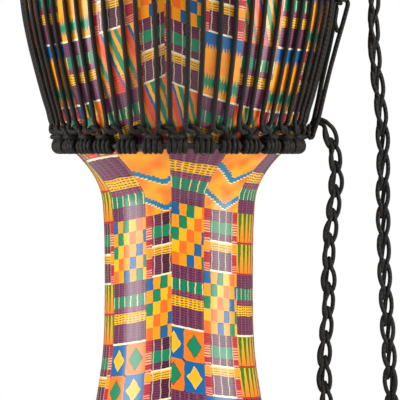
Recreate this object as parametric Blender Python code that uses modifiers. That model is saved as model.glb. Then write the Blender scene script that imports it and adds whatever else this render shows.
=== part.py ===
"""Rope-tuned goblet drum: moulded shell, cloth covering, skin head, rings, ropes and chained strap.

Metres, +Z up. The origin is on the drum's axis at the floor. The playing face is on top, the strap
hangs on the +X side, and the covering's seams are near -Y (front) and +Y (back).
"""

import math

import bpy

MM = 0.001

# Overall
HEIGHT = 610.0                 # foot to playing face
SEGMENTS = 36                  # facets round the drum
SEAM_ANGLE = 265.0             # azimuth of the covering's front seam, degrees
GAP = 0.35                     # clearance between pieces that touch

# Outer surface of the covered shell: (height, radius)
FOOT_RADIUS = 113.2
OUTLINE = (
    (0.0, FOOT_RADIUS), (14.0, 109.3), (60.0, 96.6), (100.0, 87.6), (140.0, 80.5),
    (180.0, 75.6), (232.0, 74.2), (285.0, 74.5), (315.0, 75.7), (331.0, 77.6),
    (345.0, 82.8), (357.0, 90.2), (366.0, 97.6), (374.0, 105.2), (383.0, 112.4),
    (394.0, 118.4), (408.0, 123.9), (430.0, 132.2), (460.0, 140.6), (491.0, 147.9),
    (520.0, 152.4), (545.0, 153.9), (566.0, 153.3), (586.0, 151.9),
)
WALL = 6.5                     # shell wall
CLOTH = 0.8                    # glued cloth under its lacquer
CLOTH_FOOT = 14.5              # lower and upper edge of the cloth
CLOTH_TOP = 584.0
WAIST = 75.0                   # radius at which the two panels' edges are one gap apart
INNER_ROWS = (60.0, 140.0, 232.0, 315.0, 345.0, 366.0, 383.0, 408.0, 460.0, 520.0)  # heights

# Bearing edge and skin
EDGE_RADIUS = 5.0              # rounding of the bearing edge
EDGE_CENTRE = 145.5            # radius at which the rounding is centred
SKIN = 0.9
SKIN_TURN_END = 602.0          # lower edge of the playing face's turned-over rim

# Rubber edging of the foot
EDGING_HEIGHT = 13.0
EDGING_LIP = 9.0               # height of the lip inside the foot
EDGING_WALL = 1.6
EDGING_SOLE = 3.0
EDGING_CORNER = 1.5            # height at which its outside corners are bevelled

# Rings: rod centre (radius, height)
ROD = 3.0
HOOP = (158.4, 560.0)
CROWN = (164.5, 575.0)
BOTTOM = (119.5, 378.8)
HITCH_INNER = 3.35             # inside and outside of the rope turns round a ring
HITCH_OUTER = 7.1
HITCH_WRAP = 120.0             # turns cover this many degrees above and below the outermost point
COLLAR_TURN = 4.1              # radius of the skin's fold round the flesh hoop
COLLAR_DROP = ((152.8, 586.0), (154.15, 566.0))                 # down the bowl to the fold
COLLAR_TAIL = ((157.4, 566.2), (156.6, 570.0), (156.6, 583.0))  # and up again behind the crown

# Rope
ROPE = 2.4                     # rope radius
LOOPS = 30
PITCH = 360.0 / LOOPS
LEG = 2.75                     # half the angle between the two uprights of one bottom loop
CROWN_LOOP = (                 # one hanging loop: (share of a pitch, radius, height)
    (0.0, 165.2, 551.0), (0.25, 166.2, 555.5), (0.5, 166.5, 564.8), (0.75, 166.2, 555.5),
)
BOTTOM_LOOP = (                # one standing loop
    (0.0, 123.8, 388.3), (0.25, 122.9, 394.3), (0.5, 122.9, 396.8), (0.75, 122.9, 394.3),
)
UPRIGHT_TOP = (159.3, 547.0)   # an upright's ends, (radius, height)
UPRIGHT_FOOT = (127.9, 398.0)
UPRIGHT_BEARING = ((505.0, 3.8), (445.0, 3.7))  # where it lies on the bowl: height, height off it
TURN_TOP = (159.3, 551.5)      # its turns through the crown's and the bottom ring's loops
TURN_FOOT = (128.4, 393.3)

# Free ropes. The lead hangs at one azimuth, its route is (radius, height)
LEAD_ANGLE = -PITCH / 2
LEAD_ROUTE = (
    (168.3, 517.2), (167.0, 512.0), (164.6, 503.0), (159.1, 484.0), (155.3, 470.0),
    (151.5, 456.0), (146.4, 435.0), (143.3, 421.5), (140.1, 408.0), (137.2, 399.0),
    (135.0, 392.5), (133.9, 388.6), (132.0, 387.0), (130.1, 388.8), (129.5, 392.5),
    (130.6, 399.0),
)
TAIL_ROUTE = ((157.8, 515.5), (156.8, 509.0), (156.0, 502.0), (155.8, 496.5), (155.6, 493.0))
TIE = 3.9                      # half the thickness of the tie that the lead leaves from
TIE_PLACE = (163.0, 522.0)     # its radius from the drum's axis and its height
TIE_STEPS = (-4.2, -1.4, 1.4, 4.2)  # degrees from the lead
STRAP_TURN = 4.4               # half the thickness of the strap's turn over the crown ring
STRAP_TURN_REACH = 12.1        # its radius round the crown ring's rod
STRAP_TURN_SPAN = (-35.0, 75.0)
STRAP = 7.6                    # half the width of the chained strap
STRAP_ROUTE = (                # (x, y, z)
    (148.5, -8.0, 402.0), (154.5, -7.5, 376.0), (157.0, -6.0, 345.0), (153.8, -4.0, 312.0),
    (149.8, -3.0, 275.0), (149.6, -2.0, 225.0), (146.0, -1.0, 178.0), (145.6, 0.0, 146.0),
    (149.0, 0.0, 112.0), (158.5, 1.0, 77.0), (180.5, 2.0, 54.0), (203.5, 3.0, 72.0),
    (213.0, 4.0, 108.0), (211.5, 4.0, 150.0), (208.6, 4.0, 205.0), (205.4, 4.0, 262.0),
    (204.2, 4.0, 330.0), (204.0, 3.0, 385.0), (200.8, 2.0, 425.0), (196.0, 1.0, 465.0),
    (194.4, 0.0, 505.0), (194.8, 0.0, 535.0), (193.8, 0.0, 556.0), (189.6, 0.0, 574.0),
)
STRAP_SPACING = 24.0           # distance between the strap tube's points


def start_scene():
    """Empty the scene and make the part's collection."""
    for item in list(bpy.data.objects):
        bpy.data.objects.remove(item, do_unlink=True)
    collection = bpy.data.collections.new("djembe")
    bpy.context.scene.collection.children.link(collection)
    return collection


def material(name, colour, roughness, metallic=0.0):
    made = bpy.data.materials.new(name)
    made.use_nodes = True
    shader = made.node_tree.nodes["Principled BSDF"]
    shader.inputs["Base Color"].default_value = (*colour, 1.0)
    shader.inputs["Roughness"].default_value = roughness
    shader.inputs["Metallic"].default_value = metallic
    return made


def outline_radius(height):
    """Radius of the covered shell at a height, along the outline's straight stretches."""
    for (low, low_radius), (high, high_radius) in zip(OUTLINE, OUTLINE[1:]):
        if height <= high:
            share = (height - low) / (high - low)
            return low_radius + share * (high_radius - low_radius)
    return OUTLINE[-1][1]


def inset(depth):
    """The outline moved inwards by depth, square to its surface, as (height, radius) points."""
    moved = []
    count = len(OUTLINE)
    for index, (height, radius) in enumerate(OUTLINE):
        normals = []
        for first in (index - 1, index):
            if 0 <= first < count - 1:
                rise = OUTLINE[first + 1][0] - OUTLINE[first][0]
                run = OUTLINE[first + 1][1] - OUTLINE[first][1]
                length = math.hypot(rise, run)
                normals.append((-run / length, rise / length))
        up = sum(normal[0] for normal in normals) / len(normals)
        out = sum(normal[1] for normal in normals) / len(normals)
        scale = depth / (up * up + out * out)
        moved.append((height - up * scale, radius - out * scale))
    return moved


def cut_at(points, height):
    """Radius of a (height, radius) line at a height."""
    for (low, low_radius), (high, high_radius) in zip(points, points[1:]):
        if low <= height <= high:
            share = (height - low) / (high - low)
            return low_radius + share * (high_radius - low_radius)
    return points[-1][1]


def arc(centre, radius, start, end, steps):
    """Points (radius, height) on an arc, angles in degrees from outward, counted upwards."""
    points = []
    for step in range(steps + 1):
        angle = math.radians(start + (end - start) * step / max(steps, 1))
        points.append((centre[0] + radius * math.cos(angle), centre[1] + radius * math.sin(angle)))
    return points


def smooth_route(route, spacing):
    """Points about one spacing apart on a Catmull-Rom curve through the route."""
    ends = [route[0]] + list(route) + [route[-1]]
    fine = []
    for index in range(1, len(ends) - 2):
        a, b, c, d = ends[index - 1:index + 3]
        for step in range(20):
            t = step / 20.0
            fine.append(tuple(
                0.5 * (2 * b[k] + (c[k] - a[k]) * t
                       + (2 * a[k] - 5 * b[k] + 4 * c[k] - d[k]) * t * t
                       + (3 * b[k] - a[k] - 3 * c[k] + d[k]) * t ** 3)
                for k in range(3)))
    fine.append(route[-1])
    lengths = [0.0]
    for first, second in zip(fine, fine[1:]):
        lengths.append(lengths[-1] + math.dist(first, second))
    count = round(lengths[-1] / spacing)
    points = []
    index = 0
    for step in range(count + 1):
        target = lengths[-1] * step / count
        while index < len(fine) - 2 and lengths[index + 1] < target:
            index += 1
        share = (target - lengths[index]) / (lengths[index + 1] - lengths[index])
        points.append(tuple(fine[index][k] + share * (fine[index + 1][k] - fine[index][k])
                            for k in range(3)))
    return points


def turned(collection, name, profile, finish, closed=True, start=SEAM_ANGLE, sweep=360.0):
    """A turned piece: a (radius, height) profile, clockwise when closed, swept round the axis."""
    mesh = bpy.data.meshes.new(name)
    corners = [(radius * MM, 0.0, height * MM) for radius, height in profile]
    edges = [(index, index + 1) for index in range(len(corners) - 1)]
    if closed:
        edges.append((len(corners) - 1, 0))
    mesh.from_pydata(corners, edges, [])
    piece = bpy.data.objects.new(name, mesh)
    collection.objects.link(piece)
    piece.rotation_euler.z = math.radians(start)
    screw = piece.modifiers.new("turn", "SCREW")
    screw.angle = math.radians(sweep)
    screw.steps = round(SEGMENTS * sweep / 360.0)
    screw.render_steps = screw.steps
    screw.use_merge_vertices = True
    screw.merge_threshold = 0.00001
    screw.use_smooth_shade = True
    mesh.materials.append(finish)
    return piece


def thicken(piece, thickness, offset):
    solidify = piece.modifiers.new("thickness", "SOLIDIFY")
    solidify.thickness = thickness * MM
    solidify.offset = offset
    solidify.use_even_offset = True
    return piece


def tube(collection, name, points, radius, finish, cyclic=False, resolution=1):
    """A rope: points in millimetres, round section, filled ends."""
    curve = bpy.data.curves.new(name, "CURVE")
    curve.dimensions = "3D"
    curve.bevel_depth = radius * MM
    curve.bevel_resolution = resolution
    curve.use_fill_caps = True
    spline = curve.splines.new("POLY")
    spline.points.add(len(points) - 1)
    for corner, (x, y, z) in zip(spline.points, points):
        corner.co = (x * MM, y * MM, z * MM, 1.0)
    spline.use_cyclic_u = cyclic
    curve.materials.append(finish)
    piece = bpy.data.objects.new(name, curve)
    collection.objects.link(piece)
    return piece


def around(angle, radius, height):
    """A point at an azimuth in degrees."""
    turn = math.radians(angle)
    return (radius * math.cos(turn), radius * math.sin(turn), height)


def make_shell(collection, finish):
    """Bowl, waist and foot in one wall, with the rounded bearing edge on top."""
    outer = inset(CLOTH + GAP)
    inner = inset(CLOTH + GAP + WALL)
    foot = EDGING_SOLE + GAP
    edge_height = HEIGHT - SKIN - GAP - EDGE_RADIUS
    profile = arc((EDGE_CENTRE, edge_height), EDGE_RADIUS, 90.0, 0.0, 3)
    profile += [(radius, height) for height, radius in reversed(outer[1:])]
    profile.append((cut_at(outer, foot), foot))
    profile.append((cut_at(inner, foot), foot))
    profile += [(cut_at(inner, height), height) for height in INNER_ROWS[:-1]]
    profile.append((inner[-1][1], OUTLINE[-1][0]))
    profile.append((EDGE_CENTRE - EDGE_RADIUS / 2, edge_height + EDGE_RADIUS / 2))
    return turned(collection, "shell", profile, finish)


def make_cloth(collection, finish):
    """Two glued cloth panels, each half of the way round, from above the foot to under the skin."""
    seam = math.degrees(2 * GAP / WAIST)
    profile = [(radius, height) for height, radius in reversed(OUTLINE[1:])]
    profile[0] = (profile[0][0], CLOTH_TOP)
    profile[-1] = (profile[-1][0], CLOTH_FOOT)
    for name, start in (("cloth_panel_right", SEAM_ANGLE), ("cloth_panel_left", SEAM_ANGLE - 180.0)):
        panel = turned(collection, name, profile, finish, False, start + seam / 2, 180.0 - seam)
        thicken(panel, CLOTH, -1.0)


def make_edging(collection, finish):
    """Rubber channel that grips the foot from outside, below and inside."""
    outer = inset(CLOTH + GAP)
    inner = inset(CLOTH + GAP + WALL)

    def outside(height, extra):
        return cut_at(outer, height) + extra

    def inside(height, extra):
        return cut_at(inner, height) - extra

    lip = GAP * 1.1            # a little more than the gap, since the foot leans
    profile = [
        (outside(EDGING_HEIGHT, lip), EDGING_HEIGHT),
        (outside(EDGING_HEIGHT, lip + EDGING_WALL), EDGING_HEIGHT),
        (outside(EDGING_CORNER, lip + EDGING_WALL), EDGING_CORNER),
        (outside(EDGING_CORNER, lip), 0.0),
        (inside(EDGING_CORNER, lip), 0.0),
        (inside(EDGING_CORNER, lip + EDGING_WALL), EDGING_CORNER),
        (inside(EDGING_LIP, lip + EDGING_WALL), EDGING_LIP),
        (inside(EDGING_LIP, lip), EDGING_LIP),
        (inside(EDGING_SOLE, lip), EDGING_SOLE),
        (outside(EDGING_SOLE, lip), EDGING_SOLE),
    ]
    return turned(collection, "foot_edging", profile, finish)


def make_skin(collection, finish):
    """Playing face turned over the bearing edge, and the collar folded round the flesh hoop."""
    centre = (EDGE_CENTRE, HEIGHT - SKIN - GAP - EDGE_RADIUS)
    inner = EDGE_RADIUS + GAP
    outer = inner + SKIN
    face = [(0.0, HEIGHT)] + arc(centre, outer, 90.0, 0.0, 3)
    face += [(centre[0] + outer, SKIN_TURN_END), (centre[0] + inner, SKIN_TURN_END)]
    face += arc(centre, inner, 0.0, 90.0, 3) + [(0.0, centre[1] + inner)]
    turned(collection, "skin_head", face, finish, closed=False)

    path = [(centre[0] + (inner + outer) / 2, SKIN_TURN_END - GAP), *COLLAR_DROP]
    path += arc(HOOP, COLLAR_TURN, 180.0, 360.0, 4)
    path += arc(HOOP, COLLAR_TURN, 50.0, 50.0, 0)
    path += COLLAR_TAIL
    collar = turned(collection, "skin_collar", path, finish, closed=False)
    thicken(collar, SKIN, 0.0)


def make_rod_ring(collection, name, centre, finish):
    return turned(collection, name, arc(centre, ROD, 0.0, -300.0, 5), finish)


def make_hitches(collection, name, centre, finish):
    """The rope turns round a ring, as one sleeve that is open towards the shell."""
    outside = arc(centre, HITCH_OUTER, HITCH_WRAP, -HITCH_WRAP, 6)
    inside = arc(centre, HITCH_INNER, -HITCH_WRAP, HITCH_WRAP, 6)
    return turned(collection, name, outside + inside, finish)


def make_loops(collection, name, stations, finish):
    """A closed scalloped rope, one loop to each pitch."""
    points = []
    for loop in range(LOOPS):
        for share, radius, height in stations:
            points.append(around(PITCH * (loop + 0.5 + share), radius, height))
    return tube(collection, name, points, ROPE, finish, cyclic=True)


def make_tuning_rope(collection, finish):
    """One closed rope: down to a bottom loop, back up, over to the next crown loop."""
    bearing = [(outline_radius(height) + off, height) for height, off in UPRIGHT_BEARING]
    upright = [UPRIGHT_TOP, *bearing, UPRIGHT_FOOT]
    points = []
    for loop in range(LOOPS):
        middle = PITCH * loop
        points += [around(middle - LEG, *place) for place in upright]
        points.append(around(middle, *TURN_FOOT))
        points += [around(middle + LEG, *place) for place in reversed(upright)]
        points.append(around(middle + PITCH / 2, *TURN_TOP))
    return tube(collection, "tuning_rope", points, ROPE, finish, cyclic=True)


def make_tie(collection, finish):
    """The tie lies across two uprights at the right side, outside them."""
    points = [around(LEAD_ANGLE + step, *TIE_PLACE) for step in TIE_STEPS]
    return tube(collection, "lead_tie", points, TIE, finish, resolution=2)


def make_strap_hitch(collection, finish):
    """The strap's last turn over the outside of the crown ring."""
    turn = arc(CROWN, STRAP_TURN_REACH, *STRAP_TURN_SPAN, 6)
    points = [(radius, 0.0, height) for radius, height in turn]
    return tube(collection, "strap_hitch", points, STRAP_TURN, finish, resolution=2)


def build():
    collection = start_scene()
    plastic = material("moulded shell", (0.02, 0.02, 0.022), 0.5)
    cloth = material("printed cloth", (0.85, 0.35, 0.05), 0.3)
    rubber = material("rubber edging", (0.02, 0.02, 0.02), 0.8)
    hide = material("goat skin", (0.80, 0.70, 0.52), 0.55)
    steel = material("black painted steel", (0.03, 0.03, 0.03), 0.4, 0.6)
    rope = material("black braided rope", (0.012, 0.011, 0.010), 0.85)

    make_shell(collection, plastic)
    make_cloth(collection, cloth)
    make_edging(collection, rubber)
    make_skin(collection, hide)
    make_rod_ring(collection, "flesh_hoop", HOOP, steel)
    make_rod_ring(collection, "crown_ring", CROWN, steel)
    make_rod_ring(collection, "bottom_ring", BOTTOM, steel)
    make_hitches(collection, "crown_hitches", CROWN, rope)
    make_hitches(collection, "bottom_hitches", BOTTOM, rope)
    make_loops(collection, "crown_loops", CROWN_LOOP, rope)
    make_loops(collection, "bottom_loops", BOTTOM_LOOP, rope)
    make_tuning_rope(collection, rope)
    make_tie(collection, rope)
    for name, route in (("lead_rope", LEAD_ROUTE), ("lead_tail", TAIL_ROUTE)):
        points = [around(LEAD_ANGLE, *place) for place in route]
        tube(collection, name, points, ROPE, rope, resolution=2)
    make_strap_hitch(collection, rope)
    strap = smooth_route(STRAP_ROUTE, STRAP_SPACING)
    tube(collection, "strap_chain", strap, STRAP, rope, resolution=2)


build()
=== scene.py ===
# %% [markdown]
# # A rope-tuned goblet drum
# A moulded shell covered in printed strip cloth, a goat skin held by two steel rings, black braided
# rope in thirty pairs of uprights, and a rope strap worked into a chain. The CAD model is the frame:
# it says how large each piece is and what moves, and this script makes what is seen.

import math

import bmesh
import bpy
import numpy as np
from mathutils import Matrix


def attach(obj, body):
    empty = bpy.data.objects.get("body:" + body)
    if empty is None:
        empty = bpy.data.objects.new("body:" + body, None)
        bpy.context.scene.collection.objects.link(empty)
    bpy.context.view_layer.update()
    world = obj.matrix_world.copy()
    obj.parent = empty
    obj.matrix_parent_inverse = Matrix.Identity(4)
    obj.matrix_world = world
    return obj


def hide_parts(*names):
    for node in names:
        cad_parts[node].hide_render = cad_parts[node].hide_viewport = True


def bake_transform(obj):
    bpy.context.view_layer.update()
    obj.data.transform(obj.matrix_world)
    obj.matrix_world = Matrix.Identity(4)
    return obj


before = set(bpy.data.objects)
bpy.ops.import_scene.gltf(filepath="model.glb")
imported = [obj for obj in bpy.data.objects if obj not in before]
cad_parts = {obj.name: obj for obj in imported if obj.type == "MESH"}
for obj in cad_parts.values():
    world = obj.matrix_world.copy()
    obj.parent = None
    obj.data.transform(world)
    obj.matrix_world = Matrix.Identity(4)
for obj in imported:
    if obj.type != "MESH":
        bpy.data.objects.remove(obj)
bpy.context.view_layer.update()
MM = 0.001


# %% [markdown]
# ## Driving sizes
# All lengths here are millimetres. Heights count from the floor, and angles are azimuths: 270 degrees
# is the front and 0 the right side, where the strap hangs.

# %% Driving sizes
SEAM = 265.0                  # the covering's front seam
OUTLINE = (                   # the covered shell, (height, radius)
    (0.0, 113.2), (14.0, 109.3), (60.0, 96.6), (100.0, 87.6), (140.0, 80.5), (180.0, 75.6),
    (232.0, 74.2), (285.0, 74.5), (315.0, 75.7), (331.0, 77.6), (345.0, 82.8), (357.0, 90.2),
    (366.0, 97.6), (374.0, 105.2), (383.0, 112.4), (394.0, 118.4), (408.0, 123.9),
    (430.0, 132.2), (460.0, 140.6), (491.0, 147.9), (520.0, 152.4), (545.0, 153.9),
    (566.0, 153.3), (586.0, 151.9),
)
PAIRS = 30
PITCH = 360.0 / PAIRS         # degrees from one pair of uprights to the next
LEG = 2.75                    # half the angle between the two uprights of a pair
ROPE = 2.35                   # rope radius
ROD = 3.0                     # ring rod radius
BOTTOM = (119.5, 378.8)       # ring centres, (radius, height)
HOOP = (158.4, 560.0)
CROWN = (164.5, 575.0)
LEAD_ANGLE = -PITCH / 2

# %% [markdown]
# ## Camera
# The view is the middle of the drum, from the bowl down to the stem, with the strap beside it. A long
# lens three metres away keeps the uprights parallel and shows the print square on, and standing a
# little above the view's middle it looks slightly down on the bottom ring.

# %% Camera
def aim(item, target):
    """Turn a camera or lamp at item's place towards a target, both in metres."""
    direction = np.array(target) - np.array(item.location)
    pitch = math.atan2(math.hypot(direction[0], direction[1]), -direction[2])
    item.rotation_euler = (pitch, 0.0, math.atan2(direction[1], direction[0]) - math.pi / 2)


VIEW_CENTRE = (0.0212, 0.0, 0.325)
VIEW_WIDTH = 0.4
DISTANCE = 3.0
CAMERA_RISE = 0.055
camera = bpy.data.objects.new("camera", bpy.data.cameras.new("camera"))
bpy.context.collection.objects.link(camera)
camera.data.lens = camera.data.sensor_width * DISTANCE / VIEW_WIDTH
camera.location = (VIEW_CENTRE[0], -DISTANCE, VIEW_CENTRE[2] + CAMERA_RISE)
aim(camera, VIEW_CENTRE)
bpy.context.scene.camera = camera
print("camera:", round(camera.data.lens), "mm lens")

# %% [markdown]
# ## Pieces from grids
# Every piece is made of grids of points: a turned wall, a rope or a strip of cloth is a grid whose
# rows run along it and whose columns run round or across it. Curves with a bevel or modifiers could
# make most of them, but a grid gives each corner a place in millimetres on the material, so that weave,
# braid and print keep their real scale.

# %% Pieces from grids
def build_piece(name, grids, finishes, body=None, nodes=(), weld=False):
    """One object from grids (points, places, closed rows, closed columns, finish index per face)."""
    points, faces, places, indices = [], [], [], []
    start = 0
    for grid, place, close_rows, close_columns, index in grids:
        rows, columns = grid.shape[:2]
        r, c = np.meshgrid(np.arange(rows - (not close_rows)), np.arange(columns - (not close_columns)),
                           indexing="ij")
        corners = ((r, c), (r, c + 1), (r + 1, c + 1), (r + 1, c))
        faces.append(np.stack([start + (a % rows) * columns + b % columns for a, b in corners], -1))
        faces[-1] = faces[-1].reshape(-1, 4)
        places.append(np.stack([place[a, b] for a, b in corners], 2).reshape(-1, 2))
        indices.append(np.broadcast_to(index, r.shape).reshape(-1))
        points.append(grid.reshape(-1, 3))
        start += rows * columns
    mesh = bpy.data.meshes.new(name)
    mesh.from_pydata((np.vstack(points) * MM).tolist(), [], np.vstack(faces).tolist())
    layer = mesh.uv_layers.new(name="place")
    layer.data.foreach_set("uv", (np.vstack(places) * MM).astype(np.float32).reshape(-1))
    for finish in finishes:
        mesh.materials.append(finish)
    mesh.polygons.foreach_set("material_index", np.concatenate(indices).astype(np.int32))
    mesh.shade_smooth()
    if weld:
        editing = bmesh.new()
        editing.from_mesh(mesh)
        bmesh.ops.remove_doubles(editing, verts=editing.verts, dist=1e-6)
        bmesh.ops.dissolve_degenerate(editing, edges=editing.edges, dist=1e-6)
        editing.to_mesh(mesh)
        editing.free()
    piece = bpy.data.objects.new(name, mesh)
    bpy.context.collection.objects.link(piece)
    if body:
        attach(piece, body)
    if nodes:
        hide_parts(*nodes)
    print(f"{name}: {len(mesh.polygons)} faces, {[round(d, 4) for d in piece.dimensions]} m")
    return piece


# %% [markdown]
# ## Curves and ropes
# A rope is a round section carried along a smooth line through a few chosen points. The section must
# turn as little as possible on the way, or the braid would look twisted, and on a closed run what is
# left of the turn is shared out so that the braid meets itself.

# %% Curves and ropes
def smooth(route, spacing, closed=False):
    """Points about one spacing apart on a Catmull-Rom curve through the route."""
    p = np.array(route, float)
    ends = (p[-1:], p[:1], p[1:2]) if closed else (2 * p[:1] - p[1:2], 2 * p[-1:] - p[-2:-1], p[:0])
    control = np.vstack([ends[0], p, ends[1], ends[2]])
    t = np.linspace(0.0, 1.0, 16, endpoint=False)[:, None]
    spans = []
    for a, b, c, d in zip(control, control[1:], control[2:], control[3:]):
        spans.append(0.5 * (2 * b + (c - a) * t + (2 * a - 5 * b + 4 * c - d) * t ** 2
                            + (3 * b - a - 3 * c + d) * t ** 3))
    fine = np.vstack(spans + [p[:1] if closed else p[-1:]])
    along = np.r_[0.0, np.cumsum(np.linalg.norm(np.diff(fine, axis=0), axis=1))]
    places = np.linspace(0.0, along[-1], max(round(along[-1] / spacing), 2) + 1)
    even = np.stack([np.interp(places, along, fine[:, k]) for k in range(fine.shape[1])], -1)
    return even[:-1] if closed else even


def frames(route, closed=False):
    """Tangents and two side directions along a route, turning as little as possible."""
    tangent = np.roll(route, -1, 0) - np.roll(route, 1, 0) if closed else np.gradient(route, axis=0)
    tangent /= np.linalg.norm(tangent, axis=1)[:, None]
    normal = np.zeros_like(route)
    step = np.cross(tangent[0], (0.31, 0.22, 0.93))
    for index, direction in enumerate(tangent):
        step = step - direction * step.dot(direction)
        step /= np.linalg.norm(step)
        normal[index] = step
    if closed:
        step = step - tangent[0] * step.dot(tangent[0])
        other = np.cross(tangent[0], normal[0])
        left = math.atan2(step.dot(other), step.dot(normal[0]))
        turn = (-left * np.arange(len(route)) / len(route))[:, None]
        normal = np.cos(turn) * normal + np.sin(turn) * np.cross(tangent, normal)
    return tangent, normal, np.cross(tangent, normal)


def tube(route, radius, sides=10, closed=False):
    """A round rope or rod on a route, with rounded ends unless it is closed."""
    tangent, normal, side = frames(route, closed)
    scale = np.ones(len(route))
    if not closed:
        ends = ((-0.95, 0.02), (-0.8, 0.6), (-0.4, 0.92))
        before = [route[0] + tangent[0] * radius * step for step, _ in ends]
        after = [route[-1] - tangent[-1] * radius * step for step, _ in reversed(ends)]
        route = np.vstack([before, route, after])
        scale = np.r_[[size for _, size in ends], scale, [size for _, size in reversed(ends)]]
        normal = np.vstack([normal[:1]] * 3 + [normal] + [normal[-1:]] * 3)
        side = np.vstack([side[:1]] * 3 + [side] + [side[-1:]] * 3)
    angle = np.arange(sides) * 2 * math.pi / sides
    ring = np.cos(angle)[None, :, None] * normal[:, None] + np.sin(angle)[None, :, None] * side[:, None]
    grid = route[:, None] + radius * scale[:, None, None] * ring
    shut = np.vstack([route, route[:1]]) if closed else route
    along = np.r_[0.0, np.cumsum(np.linalg.norm(np.diff(shut, axis=0), axis=1))]
    place = np.stack(np.meshgrid(along, np.arange(sides + 1) * 2 * math.pi * radius / sides,
                                 indexing="ij"), -1)
    return grid, place, closed, True, 0


# %% [markdown]
# ## Material helpers
# Colours are chosen as on a screen, and one function turns them into the linear values a shader wants.
# One other adds any shader node with its numbers and links, so that a pattern reads as a sum.

# %% Material helpers
def colour(code):
    """An sRGB hex colour as linear red, green, blue, alpha."""
    parts = [int(code[k:k + 2], 16) / 255 for k in (1, 3, 5)]
    return (*[p / 12.92 if p <= 0.04045 else ((p + 0.055) / 1.055) ** 2.4 for p in parts], 1.0)


def add(tree, kind, *values, out=0, **settings):
    """Add a shader node: values go to its inputs in order, numbers set and outputs linked."""
    node = tree.nodes.new("ShaderNode" + kind)
    for key, value in settings.items():
        setattr(node, key, value)
    for socket, value in zip(node.inputs, values):
        if isinstance(value, bpy.types.NodeSocket):
            tree.links.new(value, socket)
        elif value is not None:
            socket.default_value = value
    return node.outputs[out]


def new_material(name, **numbers):
    """A material and its tree. Numbers are uniform values, set straight on the shader's sockets."""
    made = bpy.data.materials.new(name)
    made.use_nodes = True
    shader = made.node_tree.nodes["Principled BSDF"]
    for key, value in numbers.items():
        shader.inputs[key.replace("_", " ").title().replace("Ior", "IOR")].default_value = value
    return made, made.node_tree, shader


def millimetres(tree):
    """The place on the material, as across and along sockets in millimetres."""
    split = add(tree, "SeparateXYZ", add(tree, "UVMap", uv_map="place")).node
    return [add(tree, "Math", socket, 1000.0, operation="MULTIPLY") for socket in split.outputs[:2]]


def relief(tree, shader, height, depth):
    """Join a height from 0 to 1 to the shader's normal, depth in millimetres."""
    bump = add(tree, "Bump", 1.0, depth * MM, None, height).node
    tree.links.new(bump.outputs[0], shader.inputs["Normal"])


# %% [markdown]
# ## Braided rope
# Black polyester cord, 4.7 mm, braided from sixteen strands over a core. Pre-stretched cord of this kind
# is what a drum is tuned with because it doesn't creep. Modelled strands would be too many to render,
# so two opposite helices, a strand's width apart, make the braid's diamonds in the surface. The fibres
# are matt. The colour carries a painted warm highlight on each strand's crown and painted shade, near
# black, in the grooves between the strands, and a slow cloud makes some stretches greyer.

# %% Braided rope
STRANDS = 8.0                 # strands that run each way round
STRAND_PITCH = 2.3            # along the rope from one strand's crown to the next
BRAID_DEPTH = 0.35


def make_rope_material():
    made, tree, shader = new_material("black braided polyester", roughness=0.6, sheen_weight=0.06,
                                      sheen_roughness=0.4, specular_ior_level=0.3)
    along, round_rope = millimetres(tree)
    turn = add(tree, "Math", round_rope, STRANDS / (2 * math.pi * ROPE), operation="MULTIPLY")
    run = add(tree, "Math", along, 1 / STRAND_PITCH, operation="MULTIPLY")
    ridges = []
    for operation in ("ADD", "SUBTRACT"):
        phase = add(tree, "Math", run, turn, operation=operation)
        wave = add(tree, "Math", phase, 1.0, operation="PINGPONG")
        ridges.append(add(tree, "Math", wave, 0.8, operation="POWER"))
    height = add(tree, "Math", *ridges, operation="MULTIPLY")
    worn = add(tree, "TexNoise")
    # painted light: the braid's crowns are coloured lighter as a painted highlight, its grooves near
    # black as painted shade
    painted_crown_light = add(tree, "Math", height, worn, operation="MULTIPLY")
    shade = add(tree, "MixRGB", painted_crown_light, colour("#020202"), colour("#2a1f14"))
    tree.links.new(shade, shader.inputs["Base Color"])
    relief(tree, shader, height, BRAID_DEPTH)
    return made


rope_finish = make_rope_material()

# %% [markdown]
# ## The strap
# The spare end of the tuning rope, worked into a chain so that it is short, soft on the shoulder and can
# be let out again. One rope is pulled through itself, loop after loop: each loop's head holds the neck
# of the next. It leaves the lead at the bowl's foot, hangs to below the waist, and goes back up to
# the crown ring. A simple twisted cord would be quicker, but the chain's open loops are what the eye
# sees first, so one rope follows the real stitch. The route repeats the CAD's points, and begins
# 10 mm nearer the lead.

# %% Strap chain
def scatter(count, seed):
    """Repeatable numbers from -1 to 1, for what a hand has tied."""
    return np.random.RandomState(seed).uniform(-1.0, 1.0, count)


STRAP_ROUTE = (
    (140.0, -13.0, 405.0), (147.0, -10.0, 398.5), (154.5, -7.5, 376.0), (157.0, -6.0, 345.0),
    (153.8, -4.0, 312.0), (149.8, -3.0, 275.0), (149.6, -2.0, 225.0), (146.0, -1.0, 178.0),
    (145.6, 0.0, 146.0), (149.0, 0.0, 112.0), (158.5, 1.0, 77.0), (180.5, 2.0, 54.0),
    (203.5, 3.0, 72.0), (213.0, 4.0, 108.0), (211.5, 4.0, 150.0), (208.6, 4.0, 205.0),
    (205.4, 4.0, 262.0), (204.2, 4.0, 330.0), (204.0, 3.0, 385.0), (200.8, 2.0, 425.0),
    (196.0, 1.0, 465.0), (194.4, 0.0, 505.0), (194.8, 0.0, 535.0), (193.8, 0.0, 556.0),
    (189.6, 0.0, 574.0),
)
THIN_ROPE = 2.25              # the chain's rope is pulled a little thinner
STRAP_STEP = 1.4              # from one ring of the strap's mesh to the next
CHAIN_WIDTH = 5.3             # the loops' sides from the chain's middle line
FIRST_PITCH, LAST_PITCH = 23.5, 28.5      # the loops are worked looser towards the end
HEAD_ROOM, TAIL_ROOM = 1.0, 14.0          # what the loops leave free at either end
CHAIN_TURN, CHAIN_TWIST = -38.0, 84.0     # degrees that the flat chain starts at and turns by
UNEVEN_TURN, UNEVEN_WIDTH = 16.0, 0.06    # how much one loop may turn and widen by itself
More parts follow.
